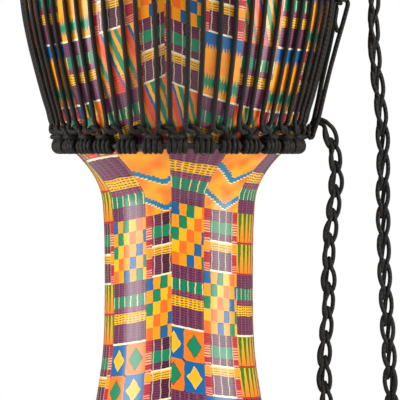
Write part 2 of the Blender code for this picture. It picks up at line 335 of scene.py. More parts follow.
STITCH = (                    # (share of a pitch, share of the width across, mm towards the eye)
    (0.05, -0.38, -1.6), (0.22, -0.42, 0.6), (0.38, -0.56, 2.2), (0.55, -0.88, 1.8), (0.78, -1.08, 0.8),
    (1.02, -1.02, 0.2), (1.25, -0.70, -0.6), (1.36, 0.0, -1.2), (1.25, 0.70, -0.6), (1.02, 1.02, 0.2),
    (0.78, 1.06, 0.8), (0.55, 0.86, 1.8), (0.38, 0.52, 2.2), (0.22, 0.42, 0.6), (0.08, 0.40, -1.4),
    (-0.04, 0.26, -3.0), (0.08, 0.12, -4.5), (0.35, 0.0, -4.6), (0.65, -0.2, -4.0), (0.92, -0.36, -3.0),
)


def chain_path(route):
    """The rope's own line in a chain of loops worked along the route."""
    line = smooth(route, 1.0)
    along = np.r_[0.0, np.cumsum(np.linalg.norm(np.diff(line, axis=0), axis=1))]
    tangent = np.gradient(line, axis=0)
    tangent /= np.linalg.norm(tangent, axis=1)[:, None]
    eye = np.cross(tangent, np.cross((0.0, -1.0, 0.0), tangent))
    eye /= np.linalg.norm(eye, axis=1)[:, None]
    across = np.cross(eye, tangent)
    mean = (FIRST_PITCH + LAST_PITCH) / 2
    count = int((along[-1] - TAIL_ROOM) / mean)
    starts = HEAD_ROOM + np.cumsum(np.r_[0.0, np.linspace(FIRST_PITCH, LAST_PITCH, count)])
    starts *= (along[-1] - TAIL_ROOM) / starts[-1]
    uneven = scatter(count, 4)
    points = []
    for loop in range(count):
        pitch = starts[loop + 1] - starts[loop]
        for share, out, towards in STITCH:
            s = min(max(starts[loop] + share * pitch, 0.0), along[-1])
            turn = math.radians(CHAIN_TURN + CHAIN_TWIST * s / along[-1] + UNEVEN_TURN * uneven[loop])
            w = out * CHAIN_WIDTH * (1.0 + UNEVEN_WIDTH * uneven[loop])
            place, side, front = [np.array([np.interp(s, along, values[:, k]) for k in range(3)])
                                  for values in (line, across, eye)]
            flat = w * math.cos(turn) - towards * math.sin(turn)
            deep = w * math.sin(turn) + towards * math.cos(turn)
            points.append(place + side * flat + front * deep)
    points.append(line[-1])
    return smooth(points, STRAP_STEP), line, along[-1]


stitches, strap_line, strap_length = chain_path(STRAP_ROUTE)
strap = build_piece("strap_chain_rope", [tube(stitches, THIN_ROPE, 9)], [rope_finish],
                    nodes=["strap_chain"], weld=True)
print(f"strap: {strap_length:.0f} mm of chain, {len(stitches) * STRAP_STEP * MM:.2f} m of rope")

# %% [markdown]
# The strap's upper end goes twice round the crown ring and is drawn tight there, as a strap is made
# fast. It rides on the crown, so it is a piece of its own, and the chain below runs between the two
# bodies, its top at the crown and its foot at the drum; the chain's piece is attached to neither body.

# %% Strap hitch
HITCH_START = ((189.6, 0.0, 573.0), (186.5, -2.0, 580.0), (178.5, -4.5, 587.0))
HITCH_POINTS = 25             # round the ring, 30 degrees apart
HITCH_WIDTH = 10.4            # from one end of its turns to the other
HITCH_REACH, HITCH_TUCK = 10.6, 4.4   # from the ring's middle, and so much less between ring and skin
HITCH_SLACK = 1.6             # the first two points stand off, where the rope comes in


def arc(centre, radius, start, end, steps):
    """(radius, height) points on an arc, angles in degrees from outward, counted upwards."""
    angle = np.radians(np.linspace(start, end, steps + 1))
    return [(centre[0] + radius * math.cos(a), centre[1] + radius * math.sin(a)) for a in angle]


def strap_hitch_path():
    """The strap's end over the crown ring and round it, wound from one side to the other."""
    points = list(HITCH_START)
    last = HITCH_POINTS + 1
    for step in range(2, last + 1):
        angle = 75.0 - step * 30.0
        sideways = -HITCH_WIDTH / 2 + HITCH_WIDTH * step / last
        inward = max(0.0, -math.cos(math.radians(angle)))
        reach = HITCH_REACH - HITCH_TUCK * inward + (HITCH_SLACK if step < 4 else 0.0)
        radius, height = arc(CROWN, reach, angle, angle, 0)[0]
        points.append((radius, sideways, height))
    return smooth(points, STRAP_STEP)


strap_hitch = build_piece("strap_hitch_turns", [tube(strap_hitch_path(), THIN_ROPE, 9)], [rope_finish],
                          "crown", ["strap_hitch"], weld=True)
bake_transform(strap)

# %% [markdown]
# ## The printed covering
# Cotton printed after African strip weaving, glued on and lacquered. The print is strips about 40 mm
# wide, side by side, and each strip alternates a woven block with a figured one, 61 mm high. An image
# could carry it, but here shader nodes draw each block in millimetres, which stays sharp close up and
# lets a colour or a line be changed by one number. What the motifs share comes first: their inks, hard
# bands of colour, and ways to repeat a place along the cloth.

# %% Print helpers
ORANGE, AMBER, YELLOW, FLAME = "#ff7d12", "#ff9d08", "#ffb91a", "#fb4f1c"
RED, MAROON, PLUM, NIGHT = "#cf2f33", "#471430", "#733359", "#241022"
GREEN, LEAF, BLUE, CREAM = "#05855a", "#2f7a22", "#0b629c", "#f7ecc8"
BLOCK = 61.0                  # height of one block of the print
STRIP = 40.0                  # width of one strip


def bands(tree, place, *stops):
    """Flat colours in a row: stops are (start, hex colour), starts from 0 to 1."""
    node = add(tree, "ValToRGB", place).node
    node.color_ramp.interpolation = "CONSTANT"
    elements = node.color_ramp.elements
    for start, code in stops[2:]:
        elements.new(start)
    for element, (start, code) in zip(elements, stops):
        element.position = start
        element.color = colour(code)
    return node.outputs[0]


def windows(tree, place, *borders):
    """White from the first border to the second, from the third to the fourth and so on, else black."""
    stops = [(border, "#000000" if k % 2 else "#ffffff") for k, border in enumerate(borders)]
    return bands(tree, place, *([(0.0, "#000000")] if borders[0] else []), *stops)


def repeat(tree, way, size):
    """How far through its repeat a place is, from 0 to 1: the repeat has a size in millimetres."""
    return add(tree, "Math", add(tree, "Math", way, size, operation="DIVIDE"), operation="FRACT")


def zigzag(tree, way, size):
    """Up from 0 to 1 over a size in millimetres, and down again over the next."""
    return add(tree, "Math", add(tree, "Math", way, size, operation="PINGPONG"), size, operation="DIVIDE")


def cell_order(tree, across, down, width, height, count):
    """Column plus row of the cell that a place lies in, starting again after a count."""
    steps = [add(tree, "Math", add(tree, "Math", way, size, operation="DIVIDE"), operation="FLOOR")
             for way, size in ((across, width), (down, height))]
    total = add(tree, "Math", *steps, operation="ADD")
    return add(tree, "Math", total, count, operation="FLOORED_MODULO")


# %% [markdown]
# The covering's finish is cotton under clear polyurethane lacquer, brushed on. A coat layer gives the
# long soft highlights while the dyes under it stay matt. Dye runs a little along the threads, so every
# drawn line wavers by a millimetre or so and the ink is cloudy. The threads are 0.45 mm apart and show
# only close up.

# %% Lacquered print
THREAD = 0.45                 # from one cotton thread to the next
THREAD_DEPTH = 0.02
WAVER = 2.4                   # how far a drawn line may stray, from side to side
WAVER_SCALE, INK_SCALE = 0.16, 1.1    # clouds per millimetre
INK_SHARE = 0.22              # how much the cloudy ink darkens a colour at most


def make_print_material(name, paint):
    """A lacquered print: paint(tree, across, down) gives the colour, both in millimetres."""
    made, tree, shader = new_material(name, roughness=0.6, specular_ior_level=0.12, coat_weight=0.9,
                                      coat_roughness=0.22)
    across, down = millimetres(tree)
    place = add(tree, "CombineXYZ", across, down)
    clouds = add(tree, "TexNoise", place, None, WAVER_SCALE, 2.0, out=1)
    drawn = []
    for way, part in zip((across, down), add(tree, "SeparateColor", clouds).node.outputs):
        drift = add(tree, "Math", part, 0.5, operation="SUBTRACT")
        drift = add(tree, "Math", drift, WAVER, operation="MULTIPLY")
        drawn.append(add(tree, "Math", way, drift, operation="ADD"))
    ink = add(tree, "TexNoise", place, None, INK_SCALE, 2.0)
    share = add(tree, "MapRange", ink, 0.35, 0.7, 0.0, INK_SHARE)
    inked = add(tree, "MixRGB", share, paint(tree, *drawn), colour("#c08868"), blend_type="MULTIPLY")
    tree.links.new(inked, shader.inputs["Base Color"])
    threads = [add(tree, "Math", add(tree, "Math", way, math.pi / THREAD, operation="MULTIPLY"),
                   operation="SINE") for way in (across, down)]
    relief(tree, shader, add(tree, "Math", *threads, operation="MULTIPLY"), THREAD_DEPTH)
    return made


# %% [markdown]
# A woven block: red combs at the sides, plum warps with dark threads across, a row of green squares, a
# cream line, and a yellow row with dark ticks. The print draws its threads 2.4 mm apart, much coarser
# than real ones, so that they show from where the drum is seen.

# %% Woven block
DRAWN_THREAD = 2.4            # from one drawn dark thread to the next
WARP_LINE = 8.0               # from one cream warp line to the next


def paint_woven(tree, across, down):
    share = add(tree, "Math", across, STRIP, operation="DIVIDE")
    depth = add(tree, "Math", down, BLOCK, operation="DIVIDE")
    thread = repeat(tree, down, DRAWN_THREAD)
    dark = add(tree, "Math", thread, 0.42, operation="LESS_THAN")
    warp = bands(tree, share, (0.0, "#8d3f55"), (0.17, PLUM), (0.41, "#5d2440"), (0.64, "#742f50"),
                 (0.82, "#8d3f55"))
    weft = bands(tree, share, (0.0, "#58203a"), (0.17, "#4a1c38"), (0.41, NIGHT), (0.64, "#3c142c"),
                 (0.82, "#58203a"))
    plum = add(tree, "MixRGB", dark, warp, weft)
    rows = bands(tree, depth, (0.0, PLUM), (0.19, GREEN), (0.37, PLUM), (0.49, CREAM), (0.52, YELLOW),
                 (0.655, PLUM), (0.965, CREAM))
    is_row = windows(tree, depth, 0.19, 0.37, 0.49, 0.655, 0.965)
    middle = add(tree, "MixRGB", is_row, plum, rows)
    in_yellow = windows(tree, depth, 0.53, 0.655)
    tick = add(tree, "Math", thread, 0.3, operation="LESS_THAN")
    ticked = add(tree, "Math", tick, in_yellow, operation="MULTIPLY")
    middle = add(tree, "MixRGB", ticked, middle, colour("#5a4a1c"))
    line = add(tree, "Math", repeat(tree, across, WARP_LINE), 0.11, operation="LESS_THAN")
    faint = add(tree, "Math", line, 0.75, operation="MULTIPLY")
    middle = add(tree, "MixRGB", faint, middle, colour("#e9c9a0"))
    pale = bands(tree, depth, (0.0, "#8e2135"), (0.17, "#efc592"), (0.37, "#8e2135"), (0.46, "#efc592"),
                 (0.68, "#8e2135"), (0.86, "#e9a287"))
    comb = add(tree, "MixRGB", dark, colour(RED), pale)
    comb = add(tree, "MixRGB", in_yellow, comb, colour(AMBER))
    side = windows(tree, share, 0.0, 0.16, 0.83)
    return add(tree, "MixRGB", side, middle, comb)


# %% [markdown]
# A ladder block, woven too but with no combs: plum with short dark dashes, a row of green squares set
# apart by cream lines, and a ticked yellow row. It stands beside the woven one so that neighbouring
# strips don't look alike.

# %% Ladder block
LADDER_DASH = 4.3             # from one dash to the next along a thread
LADDER_LINE = 7.6             # from one cream line to the next


def paint_ladder(tree, across, down):
    depth = add(tree, "Math", down, BLOCK, operation="DIVIDE")
    thread = add(tree, "Math", repeat(tree, down, DRAWN_THREAD), 0.45, operation="LESS_THAN")
    dash = add(tree, "Math", repeat(tree, across, LADDER_DASH), 0.68, operation="LESS_THAN")
    dash = add(tree, "Math", thread, dash, operation="MULTIPLY")
    rows = bands(tree, depth, (0.0, PLUM), (0.22, GREEN), (0.4, "#8a3f5c"), (0.5, YELLOW), (0.66, PLUM),
                 (0.965, CREAM))
    threads = bands(tree, depth, (0.0, MAROON), (0.22, "#0b5f5f"), (0.4, MAROON), (0.5, "#54441a"),
                    (0.66, MAROON), (0.965, CREAM))
    drawn = add(tree, "MixRGB", dash, rows, threads)
    strength = bands(tree, depth, (0.0, "#5c5c5c"), (0.22, "#ffffff"), (0.4, "#5c5c5c"))
    line = add(tree, "Math", repeat(tree, across, LADDER_LINE), 0.14, operation="LESS_THAN")
    line = add(tree, "Math", line, strength, operation="MULTIPLY")
    return add(tree, "MixRGB", line, drawn, colour("#f0cf8c"))


# %% [markdown]
# Checks: upright rectangles, yellow and orange with diagonals of blue, green and orange-red. Their
# colours depend only on column plus row, six to a round, so one row of bands paints them all. Where dye
# has bled between two checks, the blue and green ones have a dark edge.

# %% Checks
CHECK_WIDTH, CHECK_HEIGHT = 7.4, BLOCK / 5


def paint_checks(tree, across, down):
    order = cell_order(tree, across, down, CHECK_WIDTH, CHECK_HEIGHT, 6.0)
    order = add(tree, "Math", order, 6.0, operation="DIVIDE")
    base = bands(tree, order, (0.0, BLUE), (0.12, AMBER), (0.29, GREEN), (0.46, YELLOW),
                 (0.62, "#fd6f1e"), (0.79, AMBER))
    cool = windows(tree, order, 0.0, 0.12, 0.29, 0.46)
    top = add(tree, "Math", repeat(tree, down, CHECK_HEIGHT), 0.06, operation="LESS_THAN")
    left = add(tree, "Math", repeat(tree, across, CHECK_WIDTH), 0.1, operation="LESS_THAN")
    edge = add(tree, "Math", top, left, operation="MAXIMUM")
    edge = add(tree, "Math", edge, cool, operation="MULTIPLY")
    bled = add(tree, "Math", edge, 0.7, operation="MULTIPLY")
    return add(tree, "MixRGB", bled, base, colour("#14302e"))


# %% [markdown]
# Diamonds: 20 by 30 mm cells, a yellow diamond on blue beside a green diamond on orange, each with a
# dark outline. The distances to the cell's middle, across and down, add up to a diamond.

# %% Diamonds
def paint_diamonds(tree, across, down):
    cell = (STRIP / 2, BLOCK / 2)
    reach = []
    for way, size in zip((across, down), cell):
        middle = add(tree, "Math", repeat(tree, way, size), 0.5, operation="SUBTRACT")
        reach.append(add(tree, "Math", middle, operation="ABSOLUTE"))
    distance = add(tree, "Math", *reach, operation="ADD")
    even = bands(tree, distance, (0.0, YELLOW), (0.35, CREAM), (0.365, NIGHT), (0.385, BLUE),
                 (0.93, NIGHT))
    odd = bands(tree, distance, (0.0, GREEN), (0.36, NIGHT), (0.385, FLAME), (0.4, ORANGE),
                (0.93, NIGHT))
    return add(tree, "MixRGB", cell_order(tree, across, down, *cell, 2.0), even, odd)


# %% [markdown]
# Rays: two tiers of tall narrow wedges, green and dark on yellow that turns orange, with a red line
# between the tiers. A zigzag that sinks as the tier goes down makes wedges that widen downwards.

# %% Rays
RAY = 4.4                     # half the width of one wedge with its gap


def paint_rays(tree, across, down):
    tier = repeat(tree, down, BLOCK / 2)
    lean = add(tree, "Math", tier, 0.62, operation="MULTIPLY")
    wedge = add(tree, "Math", zigzag(tree, across, RAY), lean, operation="SUBTRACT")
    wedge = add(tree, "Math", wedge, 0.5, operation="ADD")
    drawn = add(tree, "MixRGB", tier, colour(YELLOW), colour(ORANGE))
    drawn = add(tree, "MixRGB", windows(tree, wedge, 0.82), drawn, colour(LEAF))
    drawn = add(tree, "MixRGB", windows(tree, wedge, 0.76, 0.82), drawn, colour("#24380c"))
    low = add(tree, "Math", tier, 0.94, operation="GREATER_THAN")
    return add(tree, "MixRGB", low, drawn, colour("#b3261c"))


# %% [markdown]
# Chevrons: stepped blue lines in a V over a mottled orange ground, edged in cream. Weavers can only
# step a slanting line, so the place across is snapped to whole steps before the line falls with it.

# %% Chevrons
MOTTLE_SCALE = 0.055          # clouds per millimetre
CHEVRON_STEP = 3.0            # one step of the line, across
CHEVRON_FALL = 0.62           # millimetres down for one across
CHEVRON_START = 4.0           # from the block's upper border to where the pattern begins
CHEVRON_RUN = 76.5            # what the shares of the two lines count in


def mottled(tree, across, down, low, high):
    """Orange dye that has taken unevenly: two colours by slow noise."""
    place = add(tree, "CombineXYZ", across, down)
    cloud = add(tree, "TexNoise", place, None, MOTTLE_SCALE, 1.0)
    share = add(tree, "MapRange", cloud, 0.38, 0.62)
    return add(tree, "MixRGB", share, colour(low), colour(high))


def paint_chevrons(tree, across, down):
    stepped = add(tree, "Math", across, CHEVRON_STEP, operation="SNAP")
    aside = add(tree, "Math", add(tree, "Math", stepped, STRIP / 2, operation="SUBTRACT"),
                operation="ABSOLUTE")
    fall = add(tree, "Math", aside, CHEVRON_FALL, operation="MULTIPLY")
    depth = add(tree, "Math", add(tree, "Math", down, fall, operation="ADD"), CHEVRON_START,
                operation="SUBTRACT")
    place = add(tree, "Math", depth, CHEVRON_RUN, operation="DIVIDE")
    lines = windows(tree, place, 0.326, 0.392, 0.659, 0.725)
    edges = windows(tree, place, 0.392, 0.405, 0.725, 0.738)
    drawn = add(tree, "MixRGB", lines, mottled(tree, across, down, "#ffb010", ORANGE), colour("#127a9c"))
    return add(tree, "MixRGB", edges, drawn, colour(CREAM))


# %% [markdown]
# Spiked fields: a wide yellow and orange field between a blue row and a green row, both drawn out in
# needles where the dyed threads cross over. The needles are a zigzag added to the rows' borders.

# %% Spiked field
NEEDLE = 1.35                 # half a needle's width
NEEDLE_LENGTH = 6.5
BLUE_BORDER = 10.5            # the blue row's lower border
GREEN_MIDDLE, GREEN_HALF = 47.0, 2.5  # the green row's middle line and half its height
GLOW = 13.0                   # the field turns from amber to orange over this


def paint_spikes(tree, across, down):
    reach = add(tree, "Math", zigzag(tree, across, NEEDLE), NEEDLE_LENGTH, operation="MULTIPLY")
    below_blue = add(tree, "Math", down, BLUE_BORDER, operation="SUBTRACT")
    from_green = add(tree, "Math", add(tree, "Math", down, GREEN_MIDDLE, operation="SUBTRACT"),
                     operation="ABSOLUTE")
    past_green = add(tree, "Math", from_green, GREEN_HALF, operation="SUBTRACT")
    drawn = add(tree, "MixRGB", zigzag(tree, down, GLOW), colour(AMBER),
                mottled(tree, across, down, ORANGE, YELLOW))
    for past, ink in ((below_blue, BLUE), (past_green, GREEN)):
        inside = add(tree, "Math", past, reach, operation="LESS_THAN")
        drawn = add(tree, "MixRGB", inside, drawn, colour(ink))
    rim = windows(tree, add(tree, "Math", down, BLOCK, operation="DIVIDE"), 0.965)
    return add(tree, "MixRGB", rim, drawn, colour(CREAM))


# %% [markdown]
# Slants: leaning bands of blue and green over broad fields of flame, yellow, amber and orange, with red
# threads across the block's foot.

# %% Slants
SLANT = 84.0                  # one round of the leaning bands, measured down
STEEPNESS = 3.0               # millimetres down for one across
SLANT_FOOT = 44.0             # from here down there are red threads, 1.3 mm wide
RED_THREAD = 2.6


def paint_slants(tree, across, down):
    lean = add(tree, "Math", across, STEEPNESS, operation="MULTIPLY")
    lean = add(tree, "Math", lean, down, operation="SUBTRACT")
    place = add(tree, "Math", lean, SLANT, operation="FLOORED_MODULO")
    place = add(tree, "Math", place, SLANT, operation="DIVIDE")
    colours = bands(tree, place, (0.0, FLAME), (0.2, BLUE), (0.3, YELLOW), (0.42, GREEN), (0.6, AMBER),
                    (0.72, GREEN), (0.86, ORANGE))
    combed = add(tree, "Math", repeat(tree, down, RED_THREAD), 0.5, operation="LESS_THAN")
    foot = add(tree, "Math", down, SLANT_FOOT, operation="GREATER_THAN")
    corner = add(tree, "Math", foot, combed, operation="MULTIPLY")
    share = add(tree, "Math", corner, 0.8, operation="MULTIPLY")
    return add(tree, "MixRGB", share, colours, colour(RED))


# %% [markdown]
# Each motif becomes a finish of its own. A mesh can hold many materials and each face keeps the number of
# its own, so one piece of cloth can carry all eight.

# %% The print's finishes
PRINTS = {motif: make_print_material(f"lacquered print, {name}", paint) for motif, name, paint in (
    ("woven", "woven block", paint_woven), ("ladder", "ladder block", paint_ladder),
    ("checks", "checks", paint_checks), ("diamonds", "diamonds", paint_diamonds),
    ("rays", "rays", paint_rays), ("chevrons", "chevrons", paint_chevrons),
    ("spikes", "spiked field", paint_spikes), ("slants", "slants", paint_slants),
)}
PRINT_ORDER = list(PRINTS)
print("print finishes:", ", ".join(PRINTS))

# %% [markdown]
# Two lengths of the print cover the shell: one round the stem up to the bottom ring, which hides the
# joint, and one round the bowl. Each was wrapped from the back and closed at a seam in front, and
# pulling it round the flare has lifted its rows towards the seam and fanned its strips out. A flat
# mapping would run straight across, so the mesh follows the print: its rows are the print's rows, and
# each block's faces get their motif's finish, with places counted from the block's corner.

# %% Cloth layout
JOINT = 380.0                 # height of the joint that the ring hides
CLOTH_FOOT, CLOTH_TOP = 14.6, 585.5
STEM_LIFT, STEM_SPREAD = 14.7, 90.0   # how far rows rise at the seam, and over how many degrees
BOWL_LIFT, BOWL_SPREAD = 31.0, 60.0
FAN_LOW, FAN_HIGH = 333.0, 368.0      # over the flare the stem's strips fan out from the seam
FAN_SPREAD = 90.0             # most halfway to here, in degrees from the seam
# in what follows, 1 stands for the right of the seam and -1 for its left
STEM_FAN = {1: 9.5, -1: 16.0}         # degrees
# the strips' widths from the seam to the back, with the first one cut at the seam
STEM_STRIPS = {1: (32.0, 40.0, 40.0, 40.0, 40.0, 42.0), -1: (26.0, 44.0, 41.0, 41.0, 41.0, 41.0)}
BOWL_STRIPS = {1: (34.0,) + (40.6,) * 10, -1: (28.0,) + (41.2,) * 10}
STEM_TOP = {1: 311.0, -1: 301.0}      # the height of a block's upper border on either side
BOWL_TOP = {1: 471.6, -1: 476.0}
STEM_FIGURES = ("slants", "slants", "chevrons", "checks", "checks", "diamonds", "spikes", "chevrons",
                "checks")
BOWL_FIGURES = {              # figured blocks from the seam outwards, by side and block
    (1, -1): ("checks", "slants", "spikes"), (1, 0): ("spikes", "spikes", "slants"),
    (1, 1): ("slants", "slants", "checks"), (-1, -1): ("checks", "spikes", "slants"),
    (-1, 0): ("slants", "spikes", "spikes"), (-1, 1): ("slants", "checks", "slants"),
}


def figure(zone, side, number, block):
    """The motif of a block: woven on every other one, as strip weavers do, else a figured one."""
    if zone == "bowl":
        if (number + block) % 2 == 0:
            return "ladder" if (number + block) % 4 == 2 else "woven"
        row = BOWL_FIGURES[side, max(-1, min(block, 1))]
        return row[number // 2 % len(row)]
    strip = number + 1 if side > 0 else -number
    if (strip + block) % 2 == 0:
        return "ladder" if strip % 2 else "woven"
    return "rays" if strip % 5 == 3 else STEM_FIGURES[(block + 3) % len(STEM_FIGURES)]


# %% [markdown]
# A block is a small grid. Its rows start level with the print, rise towards the seam, and are cut off
# where the cloth ends, and what lies wholly past the end is left out.

# %% Cloth panels
BLOCK_ROWS, BLOCK_COLUMNS = 16, 10
SLIVER = 0.02                 # a row of faces lower than this is left out
PROFILE = smooth(OUTLINE, 2.0)


def surface(height):
    """Radius of the covered shell at a height."""
    return np.interp(height, PROFILE[:, 0], PROFILE[:, 1])


def cloth_grids(zone, side):
    """The strips of one side, from the seam to the back, each a column of blocks."""
    stem = zone == "stem"
    lift, spread = (STEM_LIFT, STEM_SPREAD) if stem else (BOWL_LIFT, BOWL_SPREAD)
    low, high = (CLOTH_FOOT, JOINT) if stem else (JOINT, CLOTH_TOP)
    top = (STEM_TOP if stem else BOWL_TOP)[side]
    widths = (STEM_STRIPS if stem else BOWL_STRIPS)[side]
    first = math.floor((top - high) / BLOCK) - 1
    last = math.ceil((top - low + lift) / BLOCK)
    grids, edge = [], 0.0
    share = np.arange(BLOCK_COLUMNS + 1) / BLOCK_COLUMNS
    for number, width in enumerate(widths):
        turn = 180.0 * width / sum(widths)
        degrees = edge + turn * share
        edge += turn
        for block in range(first, last):
            upper = top - BLOCK * block
            rows = np.linspace(upper, upper - BLOCK, BLOCK_ROWS + 1)
            rise = lift * np.maximum(0.0, 1.0 - degrees / spread) ** 2
            height = np.clip(rows[:, None] + rise[None, :], low, high)
            inside = np.ptp(height, axis=1) + height.max(axis=1) - low > SLIVER
            inside &= high - height.min(axis=1) > SLIVER
            kept = [k for k in range(BLOCK_ROWS) if inside[k] or inside[k + 1]]
            if not kept:
                continue
            height = height[kept[0]:kept[-1] + 2]
            radius = surface(height)
            open_fan = np.clip((height - FAN_LOW) / (FAN_HIGH - FAN_LOW), 0.0, 1.0) * stem
            bulge = np.sin(math.pi * np.minimum(degrees, FAN_SPREAD) / FAN_SPREAD)
            fan = STEM_FAN[side] * open_fan * bulge[None, :]
            azimuth = np.radians(SEAM + side * (degrees[None, :] + fan))
            grid = np.stack([radius * np.cos(azimuth), radius * np.sin(azimuth), height], -1)
            down = upper - (height - rise[None, :])
            motif = figure(zone, side, number, block)
            if block < 0 and stem and motif in ("ladder", "woven"):
                down = BLOCK - down
            cut = STRIP - width if number == 0 else 0.0
            across = (STRIP - cut) * (share if side > 0 else 1.0 - share)
            if motif == "diamonds" and side > 0:
                across = across + cut
            place = np.stack([np.broadcast_to(across, height.shape), down], -1)
            if side < 0:
                grid, place = grid[:, ::-1], place[:, ::-1]
            index = PRINT_ORDER.index(motif)
            grids.append((grid[::-1], place[::-1], False, False, index))
    return grids


for label, side in (("right", 1), ("left", -1)):
    build_piece(f"printed_cloth_{label}", cloth_grids("stem", side) + cloth_grids("bowl", side),
                list(PRINTS.values()), "drum", [f"cloth_panel_{label}"], weld=True)

# %% [markdown]
# ## Shell and foot
# The shell is one hollow moulding in black glass-filled plastic, 6.5 mm thick, rounded at the top
# where the skin bears. Only its inside and its edge are seen. A rubber channel grips the foot. Both are
# turned: a closed profile goes round the axis, and the shell's is worked out from the covering's own
# outline, a cloth's thickness under it. Moulded plastic is slightly cloudy and pitted, rubber duller,
# and powder coating has a fine grain, so one function makes all three.

# %% Shell and edging
def turned(profile, segments=180, closed=False):
    """A (radius, height) profile turned round the drum's axis."""
    profile = np.array(profile, float)
    angle = np.arange(segments) * 2 * math.pi / segments
    grid = np.stack([profile[:, :1] * np.cos(angle), profile[:, :1] * np.sin(angle),
                     np.broadcast_to(profile[:, 1:], (len(profile), segments))], -1)
    shut = np.vstack([profile, profile[:1]]) if closed else profile
    along = np.r_[0.0, np.cumsum(np.linalg.norm(np.diff(shut, axis=0), axis=1))]
    girth = 2 * math.pi * profile[:, 0].max() * np.arange(segments + 1) / segments
    place = np.stack(np.meshgrid(along, girth, indexing="ij"), -1)[..., ::-1]
    return grid, place, closed, True, 0


def plain_material(name, base, dark, scale, depth, **numbers):
    """A material of one kind, lightly uneven in colour and surface."""
    made, tree, shader = new_material(name, **numbers)
    place = add(tree, "TexCoord", out=3)
    cloud = add(tree, "TexNoise", place, None, scale, 4.0)
    tree.links.new(add(tree, "MixRGB", cloud, colour(base), colour(dark)), shader.inputs["Base Color"])
    relief(tree, shader, cloud, depth)
    return made


moulding = plain_material("glass-filled moulding", "#1b1b1d", "#121213", 700.0, 0.12, roughness=0.5)
rubber = plain_material("black rubber", "#202020", "#161616", 500.0, 0.06, roughness=0.82)
# black powder coat, made darker still as painted shade for the bottom ring between the knots
steel = plain_material("black powder-coated steel", "#0c0b0b", "#070707", 1500.0, 0.05, roughness=0.5)

WALL = 6.5
UNDER_CLOTH = 1.15            # what the cloth, its glue and its lacquer take up
EDGE = (145.5, 603.75)        # the bearing edge's rounding: its centre and radius
EDGE_RADIUS = 5.0
SHELL_FOOT = 3.35             # just clear of the rubber's sole
SHOULDER = 586.0              # from here up the wall goes straight to the bearing edge
heights = np.linspace(SHELL_FOOT, SHOULDER, 130)
slope = np.gradient(surface(heights), heights)
lean = np.hypot(1.0, slope)
outer, inner = [np.stack([surface(heights) - depth / lean, heights + depth * slope / lean], -1)
                for depth in (UNDER_CLOTH, UNDER_CLOTH + WALL)]
outer[0] = (111.4, SHELL_FOOT)
inner[0] = (inner[1][0] + 1.0, SHELL_FOOT)
wall = [*inner, (143.0, 606.25), *arc(EDGE, EDGE_RADIUS, 90.0, 0.0, 8), *outer[::-1]]
build_piece("moulded_shell", [turned(wall, closed=True)], [moulding], "drum", ["shell"])

edging = [
    (surface(13.0) - 0.9, 13.0), (surface(13.0) + 0.6, 12.4), (surface(2.0) + 0.7, 1.8),
    (surface(0.0) - 0.3, 0.3), (surface(0.0) - 1.6, 0.0), (105.2, 0.0), (103.6, 0.6), (102.6, 2.0),
    (100.4, 8.4), (101.2, 9.0), (102.0, 8.7), (103.9, 3.0), (111.0, 3.0),
]
build_piece("foot_channel", [turned(edging, closed=True)], [rubber], "drum", ["foot_edging"])

# %% [markdown]
# ## Skin
# Goat skin, soaked and mounted wet: cream where it is shaved, a little translucent, with the darker
# line of the animal's back across it. Its pores speckle it, and mounting pulls them into fine upright
# lines at the side. It turns over the bearing edge, runs down the bowl, wraps the flesh hoop and comes
# up again behind the crown ring, where it is trimmed. It is one skin in two pieces: the playing face
# stays with the drum, and the fold, which the crown draws down, is attached to neither body.

# %% Skin
BACK_HALF = 0.07              # half the width of the darker line, in metres
PORE_SCALE, PULL_SCALE = 900.0, 190.0     # per metre
PULL_STRETCH = (1.0, 1.0, 0.07)
PORE_DEPTH = 0.2


def make_skin_material():
    made, tree, shader = new_material("shaved goat skin", roughness=0.5, subsurface_weight=0.15,
                                      subsurface_scale=0.002)
    place = add(tree, "TexCoord", out=3)
    x = add(tree, "SeparateXYZ", place)
    back = add(tree, "MapRange", add(tree, "Math", x, operation="ABSOLUTE"), 0.0, BACK_HALF, 1.0, 0.0)
    cloud = add(tree, "TexNoise", place, None, 26.0, 6.0)
    share = add(tree, "Math", back, cloud, operation="MULTIPLY")
    base = add(tree, "MixRGB", add(tree, "Math", share, 1.3, operation="MULTIPLY"), colour("#e3d2ac"),
               colour("#a98a5c"))
    pores = add(tree, "TexNoise", place, None, PORE_SCALE, 3.0)
    drawn_out = add(tree, "VectorMath", place, PULL_STRETCH, operation="MULTIPLY")
    pulls = add(tree, "TexNoise", drawn_out, None, PULL_SCALE, 3.0)
    both = add(tree, "Math", pores, pulls, operation="MULTIPLY")
    worn = add(tree, "MapRange", both, 0.12, 0.42, 0.0, 0.6)
    speckled = add(tree, "MixRGB", worn, base, colour("#b08f5e"))
    tree.links.new(speckled, shader.inputs["Base Color"])
    relief(tree, shader, add(tree, "Math", pores, pulls, operation="ADD"), PORE_DEPTH)
    return made


hide = make_skin_material()
SKIN = 0.9                    # the playing face's thickness
TOP = 610.0
SKIN_LINE = 602.0             # the face ends and the fold begins here
bend = EDGE_RADIUS + 0.35     # just clear of the bearing edge
over = arc(EDGE, bend + SKIN, 90.0, 0.0, 8)
under = arc(EDGE, bend, 0.0, 90.0, 8)
rim = [(0.05, TOP), *[(r, TOP) for r in np.linspace(12.0, 140.0, 12)], *over, (over[-1][0], SKIN_LINE),
       (under[0][0], SKIN_LINE), *under, (0.05, TOP - SKIN)]
build_piece("playing_skin", [turned(rim)], [hide], "drum", ["skin_head"], weld=True)

